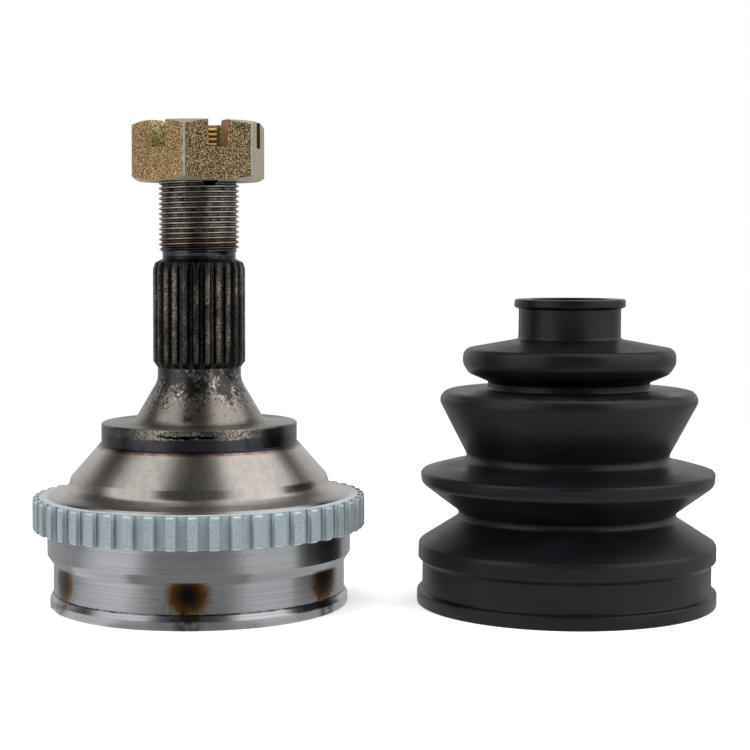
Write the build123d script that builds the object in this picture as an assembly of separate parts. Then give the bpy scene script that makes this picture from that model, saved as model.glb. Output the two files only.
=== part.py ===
from build123d import *
import os
from math import cos, pi, radians, sin, sqrt, tan

# Fixed ball joint of a front driveshaft, standing on its mouth, with its boot beside it.
# Millimetres and degrees. The origin is the centre about which the joint bends, +Z runs up
# the splined stub, and -Y is the front. Azimuths are measured from the front towards +X.

# Ball drive
ball_d = 15.875
ball_count = 6
pitch_r = 29.0             # ball centres from the joint axis, joint straight
track_offset = 4.0         # outer track centres lie this far below the origin, inner ones above
first_ball_azimuth = -5.0
outer_track_play = 0.25
inner_track_play = 0.35
outer_track_top = 33.0     # angle above the track centre at which a track of the bell ends
track_run_out = 65.0       # angle that takes a track out past the open side of its race
cage_wall_out = 2.7        # cage wall outside the circle of ball centres
cage_wall_in = 2.5         # and inside it
cage_half_h = 12.5
window_side_play = 1.35
window_end_play = 0.45
window_corner_r = 4.0
sphere_play = 0.3          # between the cage and either race

# Inner race
inner_race_below = 10.0
inner_race_above = 10.5
shaft_teeth = 26
shaft_bore_r = 12.0
shaft_tooth_depth = 1.1
shaft_root_w = 1.0         # width of the gaps at their roots
shaft_bore_chamfer = 0.8
circlip_h = 1.8            # along the axis
circlip_w = 2.0            # radially, from the tips of the shaft splines outwards
circlip_play = 0.05
circlip_z = 6.6            # underside of the circlip
circlip_gap = 40.0         # open angle of the ring

# Bell, from the mouth upwards
mouth_depth = 22.5         # origin above the mouth rim
mouth_wall = 6.45          # width of the flat rim
mouth_cone_angle = 40.0
cavity_above = 26.8        # cavity ceiling above the origin
lip_drop = 0.85            # radii below that of the band
lip_h = 2.6
lip_slope_h = 1.6
boot_seat_drop = 1.85
boot_seat_h = 8.4
band_slope_h = 2.8
band_wall = 12.8           # from the cage's bore outwards
band_h = 7.3
band_edge = 0.6
shoulder_drop = 4.3
shoulder_rise = 1.3
bell_wall = 5.9            # of the neck, from the cage's bore outwards
bell_neck_h = 3.9
bell_cone_h = 9.7
bell_cone_step = 0.3       # the cone ends this much outside the ground collar
bell_cone_w = 9.0
collar_h = 6.0
collar_edge = 0.4

# Stub axle, from the collar upwards
collar_face_w = 9.45
root_cone_angle = 30.0
root_fillet_r = 4.0
stub_neck_drop = 1.33      # radius below that of the spline
stub_neck_fillet_r = 6.0
stub_neck_h = 3.8
spline_r = 13.63
spline_depth = 1.28
spline_root_w = 0.8        # width of the gaps at their roots
spline_flank_angle = 30.0  # of both splines
spline_teeth = 25
spline_azimuth = 1.5
spline_lead_in = 1.8
spline_h = 29.2
spline_end_taper = 1.9     # height of the tapered spline end
spline_end_step = 0.6
spline_end_drop = 1.1
relief_depth = 1.1
relief_h = 1.8
thread_r = 11.9
thread_run_in = 1.3
thread_h = 28.8
thread_chamfer = 1.5
centre_hole_r = 3.2
centre_drill_r = 1.6
centre_drill_h = 8.0
pin_hole_d = 4.8
pin_hole_below_end = 8.2
pin_hole_azimuth = 22.0

# Toothed speed ring pressed on the bell
ring_h = 9.5
ring_rim = 2.3             # under the teeth
ring_tooth_h = 2.0
ring_tooth_w = 2.45
ring_flank_angle = 10.0
ring_teeth = 50
ring_azimuth = 3.05
ring_chamfer = 0.5

# Castellated hub nut
nut_flats = 35.8
nut_h = 18.3
nut_grip = 9.1             # thread inside the nut
nut_azimuth = 18.4
nut_face_step = 0.3        # end faces inside the flats
nut_chamfer_angle = 23.0
nut_slot_w = 6.0
nut_slot_h = 7.9
nut_countersink = 0.7
thread_play = 0.1

# Rubber boot, heights above its large end
boot_gap = 15.55           # between the ring's teeth and the boot's lip, seen from above
boot_wall = 2.6
cuff_stretch = 2.55        # the cuff's bore is this much smaller than its seat
cuff_wall = 2.3
cuff_lip_w = 1.65
cuff_lip_h = 3.8
cuff_step = 0.5            # height of the slopes into and out of the clamp grooves
cuff_groove_top = 12.2
cuff_bead = 0.9
cuff_bead_h = 8.2
boot_shoulder_w = 1.35
boot_shoulder_rise = 1.3
boot_shoulder_top = 17.9
boot_shoulder_round = 1.5
neck_bore_r = 12.0
neck_wall = 3.06
neck_round = 1.2
neck_base_h = 78.2
neck_h = 9.0
neck_lip_w = 1.34
neck_lip_height = 2.8

# Folds of the boot between its shoulder and its neck, as radius, height and corner radius
boot_folds = [
    (30.9, 26.3, 1.7),
    (43.2, 35.5, 2.5),
    (43.5, 39.1, 0.9),
    (36.8, 40.9, 8.0),
    (28.9, 42.1, 2.1),
    (39.7, 62.8, 2.7),
    (23.9, 63.2, 0),
    (23.9, 65.6, 0),
    (29.6, 68.0, 3.0),
    (31.5, 71.2, 2.5),
    (31.3, 75.1, 2.0),
]

# Derived sizes and levels
ball_r = ball_d / 2
track_r = sqrt(pitch_r**2 + track_offset**2)
cage_outer_r = pitch_r + cage_wall_out
cage_inner_r = pitch_r - cage_wall_in
bore_sphere_r = cage_outer_r + sphere_play
inner_race_r = cage_inner_r - sphere_play
bell_neck_r = bore_sphere_r + bell_wall
band_r = bore_sphere_r + band_wall
lip_r = band_r - lip_drop
boot_seat_r = band_r - boot_seat_drop
shoulder_r = band_r - shoulder_drop
mouth_r = lip_r - mouth_wall
collar_r = bell_neck_r - bell_cone_w
root_cone_r = collar_r - collar_face_w
stub_neck_r = spline_r - stub_neck_drop
relief_r = thread_r - relief_depth
ring_root_r = band_r + ring_rim
ring_tip_r = ring_root_r + ring_tooth_h
nut_face_r = nut_flats / 2 - nut_face_step
mouth_z = -mouth_depth
seat_z = mouth_z + lip_h + lip_slope_h
band_z = seat_z + boot_seat_h + band_slope_h
ring_z = band_z + band_h
shoulder_z = ring_z + ring_h + band_edge
neck_z = shoulder_z + shoulder_rise
cone_z = neck_z + bell_neck_h
collar_z = cone_z + bell_cone_h
collar_top_z = collar_z + collar_h
stub_neck_z = collar_top_z + (root_cone_r - stub_neck_r) / tan(radians(root_cone_angle))
spline_z = stub_neck_z + stub_neck_h
spline_end_z = spline_z + spline_lead_in + spline_h
relief_z = spline_end_z + spline_end_drop
thread_z = relief_z + relief_h + thread_run_in
stub_end_z = thread_z + thread_h
nut_z = stub_end_z - nut_grip
pin_hole_z = stub_end_z - pin_hole_below_end
circlip_r = shaft_bore_r + circlip_w
cuff_bore_r = boot_seat_r - cuff_stretch
cuff_groove_r = cuff_bore_r + cuff_wall
cuff_lip_r = cuff_groove_r + cuff_lip_w
boot_shoulder_r = cuff_groove_r + boot_shoulder_w
boot_shoulder_h = cuff_groove_top + boot_shoulder_rise
neck_r = neck_bore_r + neck_wall
neck_lip_r = neck_r + neck_lip_w
neck_lip_h = neck_base_h + neck_h
boot_h = neck_lip_h + neck_lip_height
boot_x = ring_tip_r + boot_gap + cuff_lip_r


def at_azimuth(shape, azimuth):
    """Turn a shape made facing the front to an azimuth."""
    return Rot(0, 0, azimuth) * shape


def around(shape, count, first=0.0):
    """Copies of a shape made facing the front, evenly spaced about the joint axis."""
    return [at_azimuth(shape, first + 360 / count * k) for k in range(count)]


def rounding_that_fits(before, here, after):
    """Corner radius of a corner, kept short enough to leave part of each side straight."""
    into = Vector(*here[:2]) - Vector(*before[:2])
    out = Vector(*after[:2]) - Vector(*here[:2])
    half_turn = radians(into.get_angle(out)) / 2
    room = 0.45 * min(into.length, out.length)
    return min(here[2], room / max(tan(half_turn), 0.001))


def outline(corners):
    """Closed flat outline through corners given as radius, height and corner radius."""
    points = [(r, z) for r, z, _ in corners]
    rounding = [
        rounding_that_fits(before, here, after)
        for before, here, after in zip(corners[-1:] + corners, corners, corners[1:] + corners[:1])
    ]
    return make_face(FilletPolyline(points, radius=rounding, close=True))


def turned(corners):
    """Solid turned about the joint axis from a half section."""
    return revolve(Plane.XZ * outline(corners), Axis.Z)


def parallel(corners, wall):
    """The corners of the line that runs inside an outline at the distance of a wall."""
    least_step = 1.2
    inner = []
    for before, here, after in zip(corners, corners[1:], corners[2:]):
        into = (Vector(*here[:2]) - Vector(*before[:2])).normalized()
        out = (Vector(*after[:2]) - Vector(*here[:2])).normalized()
        turn = into.cross(out).Z
        mitre = (into.cross(Vector(0, 0, -1)) + out.cross(Vector(0, 0, -1))).normalized()
        reach = wall / sqrt((1 + into.dot(out)) / 2)
        place = Vector(*here[:2]) + mitre * reach
        rounding = max(0, here[2] + (-wall if turn > 0 else wall))
        if inner and (Vector(*inner[-1][:2]) - place).length < least_step:
            last = inner.pop()
            place = (Vector(*last[:2]) + place) / 2
        inner.append((place.X, place.Y, rounding))
    return inner


def tooth_gap(root_r, root_w, open_r, flank_angle, bottom_z, height):
    """Tool for one gap between teeth at the front, widening from its root to its open side."""
    open_w = root_w + 2 * abs(open_r - root_r) * tan(radians(flank_angle))
    points = [
        (-root_w / 2, -root_r),
        (-open_w / 2, -open_r),
        (open_w / 2, -open_r),
        (root_w / 2, -root_r),
    ]
    return Pos(0, 0, bottom_z) * extrude(make_face(Polyline(points, close=True)), height)


def ball_track(centre_z, groove_r, low_angle, high_angle):
    """Groove swept by a ball about a track centre, in the plane of the front azimuth."""
    low = radians(low_angle)
    start = Plane(
        origin=(0, -track_r * cos(low), centre_z + track_r * sin(low)),
        x_dir=(1, 0, 0),
        z_dir=(0, sin(low), cos(low)),
    )
    swing = Axis((0, 0, centre_z), (-1, 0, 0))
    return revolve(start * Circle(groove_r), swing, high_angle - low_angle)


def outer_track():
    """One track of the bell: open at the mouth and ending in a ball shape inside."""
    groove_r = ball_r + outer_track_play
    top = radians(outer_track_top)
    end = Pos(0, -track_r * cos(top), -track_offset + track_r * sin(top)) * Sphere(groove_r)
    return ball_track(-track_offset, groove_r, -track_run_out, outer_track_top) + end


def forging():
    """Outside of the bell and its stub axle as one turned solid."""
    shoulder_edge_r = band_r - band_edge
    return turned([
        (0, mouth_z, 0),
        (lip_r, mouth_z, 0),
        (lip_r, mouth_z + lip_h, 0.8),
        (boot_seat_r, seat_z, 0),
        (boot_seat_r, seat_z + boot_seat_h, 0),
        (band_r, band_z, 0),
        (band_r, shoulder_z - band_edge, 0),
        (shoulder_edge_r, shoulder_z, 0),
        (shoulder_r, neck_z - shoulder_rise / 4, 0),
        (bell_neck_r, neck_z, 2.0),
        (bell_neck_r, cone_z, 1.6),
        (collar_r + bell_cone_step, collar_z, 0),
        (collar_r, collar_z, 0),
        (collar_r, collar_top_z - collar_edge, 0),
        (collar_r - collar_edge, collar_top_z, 0),
        (root_cone_r, collar_top_z, root_fillet_r),
        (stub_neck_r, stub_neck_z, stub_neck_fillet_r),
        (stub_neck_r, spline_z, 0),
        (spline_r, spline_z + spline_lead_in, 0),
        (spline_r, spline_end_z - spline_end_taper, 0),
        (spline_r - spline_end_step, spline_end_z, 0),
        (relief_r, relief_z, 0),
        (relief_r, relief_z + relief_h, 0),
        (thread_r, thread_z, 0),
        (thread_r, stub_end_z - thread_chamfer, 0),
        (thread_r - thread_chamfer, stub_end_z, 0),
        (0, stub_end_z, 0),
    ])


def bell_cavity():
    """Room inside the bell: a ball bore for the cage with a ceiling, and a conical mouth."""
    hanging = (Align.CENTER, Align.CENTER, Align.MAX)
    below_ceiling = Pos(0, 0, cavity_above) * Cylinder(bore_sphere_r, 2 * bore_sphere_r, align=hanging)
    cone_top_r = mouth_r - mouth_depth * tan(radians(mouth_cone_angle))
    cone = Cone(mouth_r, cone_top_r, mouth_depth, align=hanging)
    return (Sphere(bore_sphere_r) & below_ceiling) + cone


def centre_hole():
    """Lathe centre in the end of the stub."""
    return turned([
        (0, stub_end_z, 0),
        (centre_hole_r, stub_end_z, 0),
        (centre_drill_r, stub_end_z - (centre_hole_r - centre_drill_r) * sqrt(3), 0),
        (centre_drill_r, stub_end_z - centre_drill_h, 0),
        (0, stub_end_z - centre_drill_h - centre_drill_r / sqrt(3), 0),
    ])


def pin_hole():
    """Cross hole through the thread for a split pin."""
    across = Plane(origin=(0, 0, pin_hole_z), z_dir=(0, -1, 0))
    return at_azimuth(across * Cylinder(pin_hole_d / 2, 4 * thread_r), pin_hole_azimuth)


def outer_race():
    """Bell with its six ball tracks and the splined, threaded stub."""
    gap = tooth_gap(
        spline_r - spline_depth, spline_root_w, spline_r + spline_depth, spline_flank_angle,
        spline_z, relief_z - spline_z,
    )
    half_pitch = 180 / spline_teeth
    body = forging() - bell_cavity()
    body -= around(outer_track(), ball_count, first_ball_azimuth)
    body -= around(gap, spline_teeth, spline_azimuth + half_pitch)
    return body - centre_hole() - pin_hole()


def abs_ring():
    """Speed ring with straight teeth all round and its tooth edges broken."""
    blank = turned([
        (band_r, ring_z, 0),
        (ring_tip_r - ring_chamfer, ring_z, 0),
        (ring_tip_r, ring_z + ring_chamfer, 0),
        (ring_tip_r, ring_z + ring_h - ring_chamfer, 0),
        (ring_tip_r - ring_chamfer, ring_z + ring_h, 0),
        (band_r, ring_z + ring_h, 0),
    ])
    tip_gap = 2 * pi * ring_tip_r / ring_teeth - ring_tooth_w
    root_gap = tip_gap - 2 * ring_tooth_h * tan(radians(ring_flank_angle))
    open_r = ring_tip_r + ring_tooth_h
    gap = tooth_gap(ring_root_r, root_gap, open_r, ring_flank_angle, ring_z, ring_h)
    half_pitch = 180 / ring_teeth
    return blank - around(gap, ring_teeth, ring_azimuth + half_pitch)


def hub_nut():
    """Hexagon nut with a slot for the split pin across each pair of faces."""
    hexagon = RegularPolygon(nut_flats / 2, 6, major_radius=False)
    flat_front = Rot(0, 0, 30) * hexagon
    prism = Pos(0, 0, nut_z) * extrude(flat_front, nut_h)
    corner_r = nut_flats / sqrt(3)
    drop = (corner_r - nut_face_r) * tan(radians(nut_chamfer_angle))
    envelope = turned([
        (0, nut_z, 0),
        (nut_face_r, nut_z, 0),
        (corner_r, nut_z + drop, 0),
        (corner_r, nut_z + nut_h - drop, 0),
        (nut_face_r, nut_z + nut_h, 0),
        (0, nut_z + nut_h, 0),
    ])
    bore_r = thread_r + thread_play
    bore = Pos(0, 0, nut_z) * Cylinder(bore_r, 3 * nut_h)
    sink = turned([
        (0, nut_z, 0),
        (bore_r + nut_countersink, nut_z, 0),
        (bore_r, nut_z + nut_countersink, 0),
        (0, nut_z + nut_countersink, 0),
    ])
    slot = Pos(0, 0, nut_z + nut_h - nut_slot_h / 2) * Box(nut_slot_w, 2 * nut_flats, nut_slot_h)
    slots = [at_azimuth(slot, turn) for turn in (0, 60, 120)]
    nut = (prism & envelope) - bore - sink - slots
    return at_azimuth(nut, nut_azimuth)


def inner_race():
    """Ball-shaped hub with six tracks, a splined bore for the shaft and a circlip groove."""
    height = inner_race_below + inner_race_above
    slab = Pos(0, 0, -inner_race_below) * Cylinder(
        2 * inner_race_r, height, align=(Align.CENTER, Align.CENTER, Align.MIN)
    )
    hub = Sphere(inner_race_r) & slab
    hub -= around(
        ball_track(track_offset, ball_r + inner_track_play, -track_run_out, track_run_out),
        ball_count, first_ball_azimuth,
    )
    hub -= turned([
        (0, -inner_race_below, 0),
        (shaft_bore_r + shaft_tooth_depth + shaft_bore_chamfer, -inner_race_below, 0),
        (shaft_bore_r, -inner_race_below + shaft_tooth_depth + shaft_bore_chamfer, 0),
        (shaft_bore_r, inner_race_above - shaft_bore_chamfer, 0),
        (shaft_bore_r + shaft_bore_chamfer, inner_race_above, 0),
        (0, inner_race_above, 0),
    ])
    gap = tooth_gap(
        shaft_bore_r + shaft_tooth_depth, shaft_root_w, shaft_bore_r - shaft_tooth_depth,
        spline_flank_angle, -inner_race_below, height,
    )
    hub -= around(gap, shaft_teeth)
    groove = Pos(0, 0, circlip_z - circlip_play) * Cylinder(
        circlip_r + circlip_play, circlip_h + 2 * circlip_play,
        align=(Align.CENTER, Align.CENTER, Align.MIN),
    )
    return hub - groove


def cage():
    """Ring between the races with a window for each ball."""
    slab = Cylinder(2 * cage_outer_r, 2 * cage_half_h)
    ring = (Sphere(cage_outer_r) - Sphere(cage_inner_r)) & slab
    opening = RectangleRounded(
        ball_d + 2 * window_side_play, ball_d + 2 * window_end_play, window_corner_r
    )
    window = extrude(Plane.XZ * opening, 2 * cage_outer_r)
    return ring - around(window, ball_count, first_ball_azimuth)


def ball(number):
    """One ball at its place in the straight joint."""
    azimuth = first_ball_azimuth + 360 / ball_count * number
    return at_azimuth(Pos(0, -pitch_r, 0) * Sphere(ball_r), azimuth)


def shaft_circlip():
    """Open ring that locks the shaft in the inner race."""
    section = outline([
        (shaft_bore_r, circlip_z, 0),
        (circlip_r, circlip_z, 0),
        (circlip_r, circlip_z + circlip_h, 0),
        (shaft_bore_r, circlip_z + circlip_h, 0),
    ])
    ring = revolve(Plane.XZ * section, Axis.Z, 360 - circlip_gap)
    return at_azimuth(ring, circlip_gap / 2 + 90)


def boot_line():
    """Corners of the boot's outer skin from the shoulder over the cuff to the lip of the neck."""
    return [
        (boot_shoulder_r, boot_shoulder_h, 0),
        (boot_shoulder_r, boot_shoulder_top, boot_shoulder_round),
        *boot_folds,
        (neck_r, neck_base_h, neck_round),
        (neck_r, neck_lip_h, 0),
    ]


def boot():
    """Moulded bellows with a cuff for the bell and a narrow neck for the shaft."""
    skin = turned([
        (0, 0, 0),
        (cuff_lip_r, 0, 0),
        (cuff_lip_r, cuff_lip_h, 0),
        (cuff_groove_r, cuff_lip_h + cuff_step, 0),
        (cuff_groove_r, cuff_groove_top, 0),
        *boot_line(),
        (neck_lip_r, neck_lip_h + cuff_step, 0),
        (neck_lip_r, boot_h, 0),
        (0, boot_h, 0),
    ])
    inside = parallel(boot_line(), boot_wall)
    hollow = turned([
        (0, 0, 0),
        (cuff_bore_r, 0, 0),
        (cuff_bore_r, cuff_bead_h - cuff_bead, 0),
        (cuff_bore_r - cuff_bead, cuff_bead_h, 0),
        (cuff_bore_r, cuff_bead_h + cuff_bead, 0),
        (cuff_bore_r, boot_shoulder_h, 0),
        *inside,
        (0, inside[-1][1], 0),
    ])
    neck_bore = Cylinder(neck_bore_r, boot_h, align=(Align.CENTER, Align.CENTER, Align.MIN))
    return Pos(boot_x, 0, mouth_z) * (skin - hollow - neck_bore)


def main():
    """Write one file for each piece."""
    os.makedirs("parts", exist_ok=True)
    pieces = {
        "outer_race": outer_race(),
        "abs_ring": abs_ring(),
        "hub_nut": hub_nut(),
        "inner_race": inner_race(),
        "cage": cage(),
        "shaft_circlip": shaft_circlip(),
        "boot": boot(),
    }
    for number in range(ball_count):
        pieces[f"ball_{number + 1}"] = ball(number)
    for name, piece in pieces.items():
        piece.label = name
        export_step(piece, f"parts/{name}.step")


main()
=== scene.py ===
from math import cos, pi, radians, sin, sqrt, tan

import bmesh
import bpy
import numpy as np
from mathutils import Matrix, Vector


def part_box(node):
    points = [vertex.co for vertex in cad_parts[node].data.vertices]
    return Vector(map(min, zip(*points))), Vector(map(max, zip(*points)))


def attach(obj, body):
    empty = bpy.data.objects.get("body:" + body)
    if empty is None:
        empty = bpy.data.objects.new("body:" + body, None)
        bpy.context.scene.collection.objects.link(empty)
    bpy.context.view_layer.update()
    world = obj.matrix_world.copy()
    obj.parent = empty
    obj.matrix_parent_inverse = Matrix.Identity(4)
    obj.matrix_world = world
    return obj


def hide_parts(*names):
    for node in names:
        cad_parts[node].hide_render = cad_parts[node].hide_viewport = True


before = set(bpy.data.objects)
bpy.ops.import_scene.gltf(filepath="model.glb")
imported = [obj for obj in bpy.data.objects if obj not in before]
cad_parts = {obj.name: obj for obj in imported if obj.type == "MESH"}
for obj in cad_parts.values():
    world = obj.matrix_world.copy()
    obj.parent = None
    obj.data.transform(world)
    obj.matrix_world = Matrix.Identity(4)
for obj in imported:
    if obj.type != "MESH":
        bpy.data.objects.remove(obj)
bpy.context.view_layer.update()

# Sizes are in mm and angles in degrees, as in the CAD source, until a mesh is made in metres.
# Heights count up from the surface on which the joint and the boot stand. Azimuths are
# measured from the front, -Y, towards +X.
MM = 0.001
near_axis = 0.01                       # radius of a row of points that closes at the axis


def box_mm(node):
    """Lowest and highest corner of a CAD node in mm."""
    low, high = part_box(node)
    return low / MM, high / MM


race_low, race_high = box_mm("outer_race")
ring_low, ring_high = box_mm("abs_ring")
nut_low, nut_high = box_mm("hub_nut")
boot_low, boot_high = box_mm("boot")
floor_z = race_low.z

# Bell and stub
bend_h = -floor_z                      # centre about which the joint bends
lip_r = 43.95
lip_h = 2.6
seat_r = 42.95
seat_h = 4.2
seat_top_h = 12.6
band_r = 44.8
band_h = 15.4
shoulder_h = ring_high.z - floor_z + 0.6
neck_h = shoulder_h + 1.3
bell_neck_r = 37.9
cone_h = neck_h + 3.9
collar_r = 28.9
collar_h = cone_h + 9.7
collar_top_h = collar_h + 6.0
root_cone_r = 19.45
stub_neck_r = 12.3
root_cone_slope = 30.0                 # off the axis
stub_neck_h = collar_top_h + (root_cone_r - stub_neck_r) / tan(radians(root_cone_slope))
spline_h = stub_neck_h + 3.8
spline_r = 13.63
spline_root_r = spline_r - 1.28
spline_root_w = 0.8
spline_flank = 30.0
spline_teeth = 25
spline_azimuth = 1.5
spline_end_h = spline_h + 31.0
relief_h = spline_end_h + 1.1
relief_r = 10.8
thread_h = relief_h + 3.1
thread_r = 11.9
thread_root_r = 10.98
thread_pitch = 1.5
stub_end_h = race_high.z - floor_z
pin_hole_r = 2.4
pin_hole_h = stub_end_h - 8.2
pin_hole_azimuth = 22.0
pin_hole_floor_r = 5.0                 # how near to the axis the scene's hole reaches

# Inside of the bell
cage_bore_r = 32.0
mouth_r = 37.5
mouth_slope = 40.0
ceiling_h = bend_h + 26.8
track_count = 6
track_azimuth = -5.0
ball_pitch_r = 29.0
track_offset = 4.0                     # how far the tracks' centre lies below the joint's
track_r = sqrt(ball_pitch_r**2 + track_offset**2)
track_centre_h = bend_h - track_offset
track_groove_r = 8.1875
track_top = 33.0
track_search = (20, 42)                # radii between which a track's floor is looked for

# Finish of the bell
burn_azimuth = 1.0                     # as in the photo, which doesn't show the tracks
burn_h = 9.7
warm_h = (30, 34)                      # heights between which the steel goes from grey to warm

# Toothed ring
ring_h = ring_low.z - floor_z
ring_top_h = ring_high.z - floor_z
ring_root_r = 47.1
ring_tip_r = 49.1
ring_teeth = 50
ring_tooth_w = 2.45
ring_flank = 10.0
ring_azimuth = 3.05

# Nut
nut_h = nut_low.z - floor_z
nut_top_h = nut_high.z - floor_z - 0.75  # as in the photo
nut_flats = 35.8
nut_azimuth = 23.6                     # as in the photo; the CAD's nut stands 5.2 degrees short of it
nut_face_r = 17.6
nut_chamfer = 23.0
nut_bore_r = 12.0
nut_minor_r = 11.25
nut_sink = 0.7
nut_slot_w = 6.0
nut_slot_h = 7.9

# Boot
boot_x = (boot_low.x + boot_high.x) / 2
boot_h = boot_high.z - boot_low.z
boot_lean = 1.2                        # towards +X, at the top
boot_wall = 2.6
boot_bore_r = 12.0
boot_neck_r = 15.06
shelf_h = (62.3, 63.5)                 # top of the third fold, where dust lies
boot_lip_r = 16.4
cuff_bead_r = 44.3
cuff_bead_h = 3.8
cuff_groove_r = 42.7
cuff_top_r = 44.05
cuff_top_h = 13.5
cuff_bore_r = 40.4
cuff_ridge_h = 8.2                     # height of the ridge inside the cuff
seam_w = 0.4                           # half width of the parting line, in degrees
seam_offsets = (-0.6, -0.3, 0.3, 0.6)  # extra columns beside it, in degrees

# Light. Levels are radiances. Each soft box lies beyond two planes, given by their normals.
left_box = 1.05
right_box = 1.25
left_box_planes = ((0.156, -0.837, 0.326), (-0.835, 0.511, -0.156))
right_box_planes = ((0.156, -0.708, 0.354), (0.866, 0.485, -0.128))
box_blur = 0.1
studio_dark = 0.06
backdrop = 0.7
floor_glow = 0.42
floor_left = 0.85
floor_right = 0.62
floor_dark = 0.33
floor_behind = 0.45
floor_dip = 0.156                      # how steeply mirrored rays meet the floor's lit parts
floor_spread = 1.012                   # length of a direction that is 1 across and floor_dip down
floor_size = 4.0                       # half width in metres
stage_x = 54.0                         # middle of the two objects
white_from = 0.25                      # distances in metres over which the floor turns white
white_at = 0.6

# Camera, fitted to the photo
camera_place = (52.2, -542.1, 83.2)
camera_tilt = 1.5                      # looking down
camera_lens = 87.63
camera_sensor = 36
camera_shift = -0.108


# Shapes

def soft_min(a, b, width):
    """The smaller of two numbers, with a rounded change from one to the other."""
    share = np.clip(0.5 + 0.5 * (b - a) / width, 0, 1)
    return b + (a - b) * share - width * share * (1 - share)


def soft_max(a, b, width):
    """The larger of two numbers, with a rounded change from one to the other."""
    return -soft_min(-a, -b, width)


def rounded(corners, step=12.0):
    """Points of a section through corners (radius, height, rounding), each rounded by an arc."""
    points = []
    for place, (r, h, rounding) in enumerate(corners):
        here = Vector((r, h))
        if rounding == 0 or place in (0, len(corners) - 1):
            points.append(here)
            continue
        into = here - Vector(corners[place - 1][:2])
        out = Vector(corners[place + 1][:2]) - here
        room = 0.45 * min(into.length, out.length)
        turn = into.angle_signed(out)
        rounding = min(rounding, room / max(tan(abs(turn) / 2), 1e-4))
        back = rounding * tan(abs(turn) / 2)
        start = here - into.normalized() * back
        side = 1 if turn > 0 else -1
        normal = Vector((into.y, -into.x)).normalized() * side
        centre = start + normal * rounding
        count = max(2, round(abs(turn) / radians(step)))
        arm = start - centre
        for k in range(count + 1):
            spin = -turn * k / count
            points.append(centre + Vector((
                arm.x * cos(spin) - arm.y * sin(spin), arm.x * sin(spin) + arm.y * cos(spin),
            )))
    return np.array([tuple(p) for p in points])


def parallel(corners, wall):
    """Corners of the line that runs inside a section's corners at the distance of a wall."""
    shortest = 1.2
    inner = []
    for before, here, after in zip(corners, corners[1:], corners[2:]):
        into = (Vector(here[:2]) - Vector(before[:2])).normalized()
        out = (Vector(after[:2]) - Vector(here[:2])).normalized()
        mitre = Vector((-into.y - out.y, into.x + out.x)).normalized()
        place = Vector(here[:2]) + mitre * wall / sqrt((1 + into.dot(out)) / 2)
        convex = into.x * out.y - into.y * out.x > 0
        rounding = max(0, here[2] + (-wall if convex else wall))
        if inner and (Vector(inner[-1][:2]) - place).length < shortest:
            last = inner.pop()
            place = (Vector(last[:2]) + place) / 2
        inner.append((place.x, place.y, rounding))
    return inner


def columns(count, first=0.0):
    """Azimuths of the columns of a turned mesh, in radians."""
    return radians(first) + np.arange(count) * 2 * pi / count


def spread(values, azimuth):
    """Rows of columns in which each row repeats its value."""
    return np.reshape(values, (-1, 1)) * np.ones_like(azimuth)


def rows(section, azimuth):
    """Radii and heights of a plain turned section as rows of columns."""
    return spread(section[:, 0], azimuth), spread(section[:, 1], azimuth)


def add_object(name, data):
    """Object in the scene that shows a mesh, lamp or camera."""
    made = bpy.data.objects.new(name, data)
    bpy.context.scene.collection.objects.link(made)
    return made


def turned_mesh(name, radius, height, azimuth, closed=False, centre_x=0.0, smooth_angle=35.0):
    """Piece made of rows of points round an upright axis."""
    count_r, count_a = radius.shape
    x = (centre_x + radius * np.sin(azimuth)) * MM
    y = -radius * np.cos(azimuth) * MM
    z = (floor_z + height) * MM
    points = np.stack([x, y, z], axis=-1).reshape(-1, 3)
    low = np.arange(count_r if closed else count_r - 1)[:, None]
    high = (low + 1) % count_r
    left = np.arange(count_a)[None, :]
    right = (left + 1) % count_a
    corners = [(low, left), (low, right), (high, right), (high, left)]
    quads = np.stack([row * count_a + column for row, column in corners], axis=-1).reshape(-1, 4)
    mesh = bpy.data.meshes.new(name)
    mesh.from_pydata(points.tolist(), [], quads.tolist())
    tidy_mesh(mesh, smooth_angle)
    return add_object(name, mesh)


def tidy_mesh(mesh, smooth_angle):
    """Joins points that fall together, turns the faces outwards and shades the mesh smooth."""
    work = bmesh.new()
    work.from_mesh(mesh)
    bmesh.ops.remove_doubles(work, verts=work.verts, dist=1e-7)
    bmesh.ops.recalc_face_normals(work, faces=work.faces)
    work.to_mesh(mesh)
    work.free()
    mesh.polygons.foreach_set("use_smooth", [True] * len(mesh.polygons))
    mesh.set_sharp_from_angle(angle=radians(smooth_angle))


def from_gap(azimuth, count, first):
    """Angle of each column from the middle of the nearest gap between teeth, in radians."""
    pitch = 2 * pi / count
    return (azimuth - radians(first)) % pitch - pitch / 2


def gap_radius(off, root_r, root_w, flank):
    """Radius of the wall of a gap that widens outwards from its root, at an angle off its middle."""
    slope = tan(radians(flank))
    off = np.abs(off)
    rise = np.maximum(slope - np.tan(off), 1e-4)
    wall = (root_r * slope - root_w / 2) / rise
    past_root = root_r * np.tan(off) > root_w / 2
    steep = np.tan(off) >= slope
    wall = np.where(steep, 1e3, wall)
    return np.where(past_root, wall, root_r) / np.cos(off)


def thread_form(height, azimuth, start):
    """Right-hand thread between 0 at its roots and 1 at its crests, flat for an eighth of a pitch."""
    turn = ((height - start) / thread_pitch - azimuth / (2 * pi)) % 1
    return np.clip((np.abs(turn - 0.5) - 0.11) / 0.3, 0, 1)


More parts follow.
